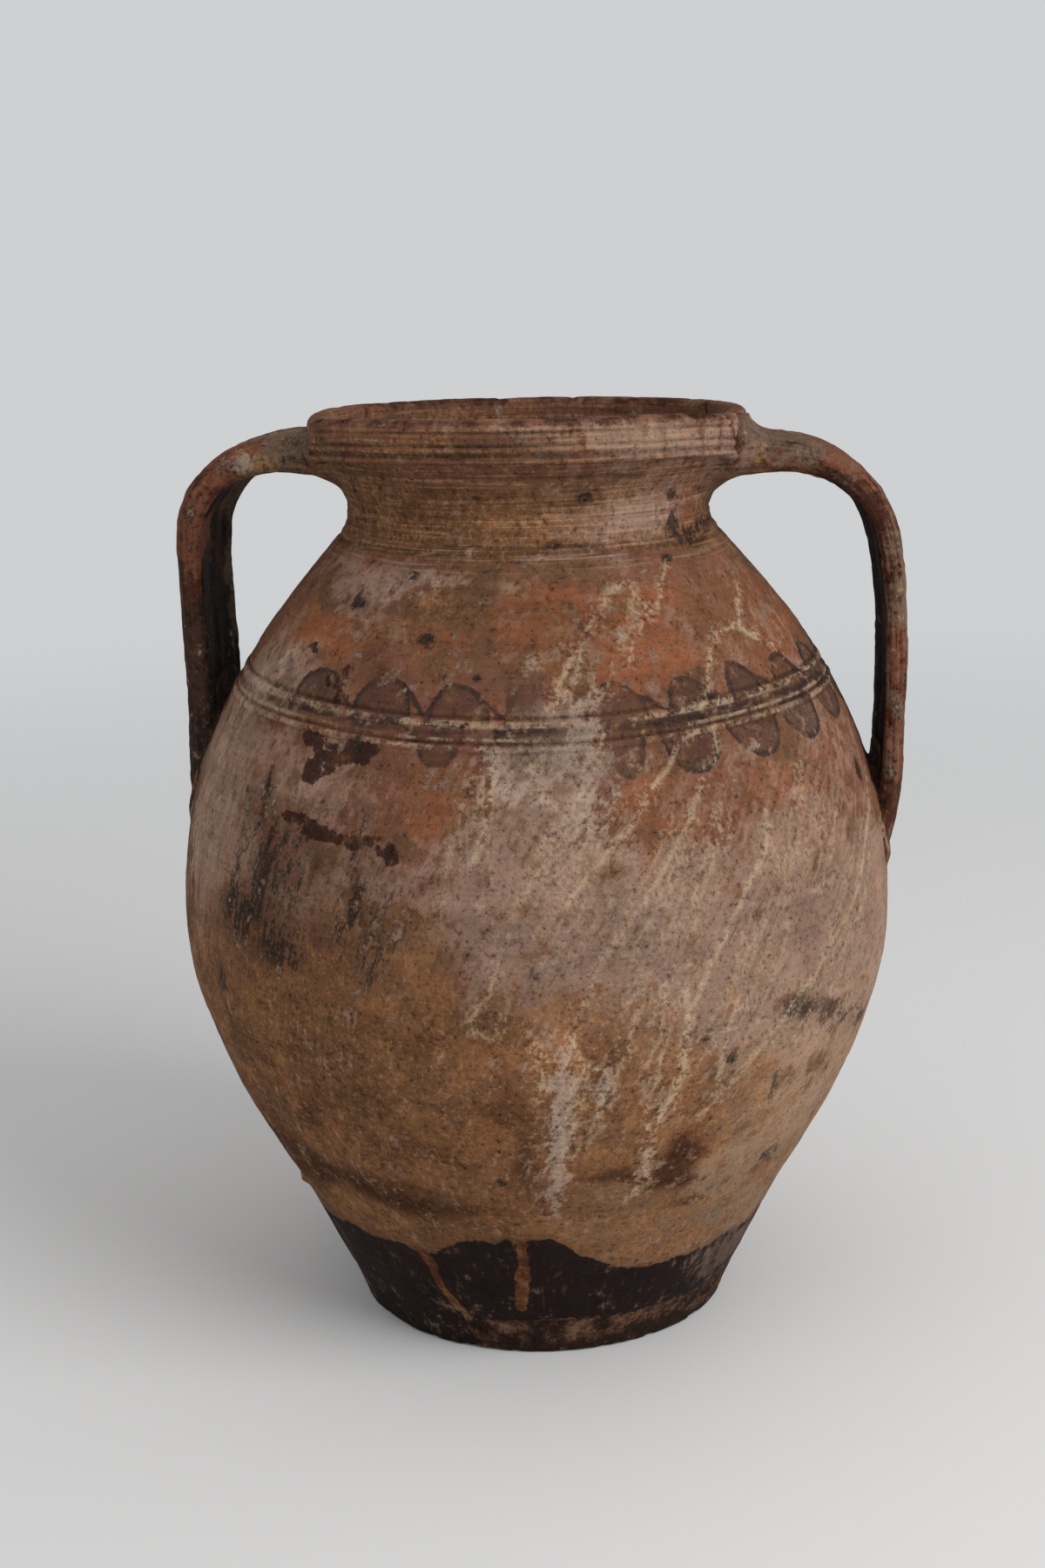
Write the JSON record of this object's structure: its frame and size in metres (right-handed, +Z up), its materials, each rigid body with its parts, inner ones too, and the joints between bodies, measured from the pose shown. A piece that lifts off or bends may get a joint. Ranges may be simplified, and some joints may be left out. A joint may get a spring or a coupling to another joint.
{
  "type": "olive jar",
  "caption": "Wheel-thrown earthenware olive jar with a swelling belly, narrow foot, short neck, ridged rim collar and strap handles from the neck to the belly.",
  "frame": {"origin": "centre of the flat foot, on the ground", "axes": "+Z up along the turning axis, handles near +X and -X, painted front towards -Y"},
  "size_m": [0.3478, 0.3424, 0.44],
  "materials": {
    "foot_clay": "matte, pale lime film over dark glaze runs",
    "lower_clay": "matte, sooty, with a dark glaze band above the foot",
    "belly_clay": "matte, lime bloom and streaks",
    "shoulder_clay": "matte to satin, brown slip lobes",
    "neck_clay": "matte, throwing lines and pale crust",
    "rim_clay": "matte, worn and chipped lip",
    "handle_clay": "satin, worn red-brown edges and dark hollows"
  },
  "bodies": {
    "root": {"foot_disc": "foot_clay", "lower_wall": "lower_clay", "belly_wall": "belly_clay", "shoulder_wall": "shoulder_clay", "neck_ring": "neck_clay", "rim_collar": "rim_clay", "left_handle": "handle_clay", "right_handle": "handle_clay", "left_handle_upper_wad": "neck_clay", "left_handle_lower_wad": "belly_clay", "right_handle_upper_wad": "neck_clay", "right_handle_lower_wad": "belly_clay"}
  },
  "joints": []
}
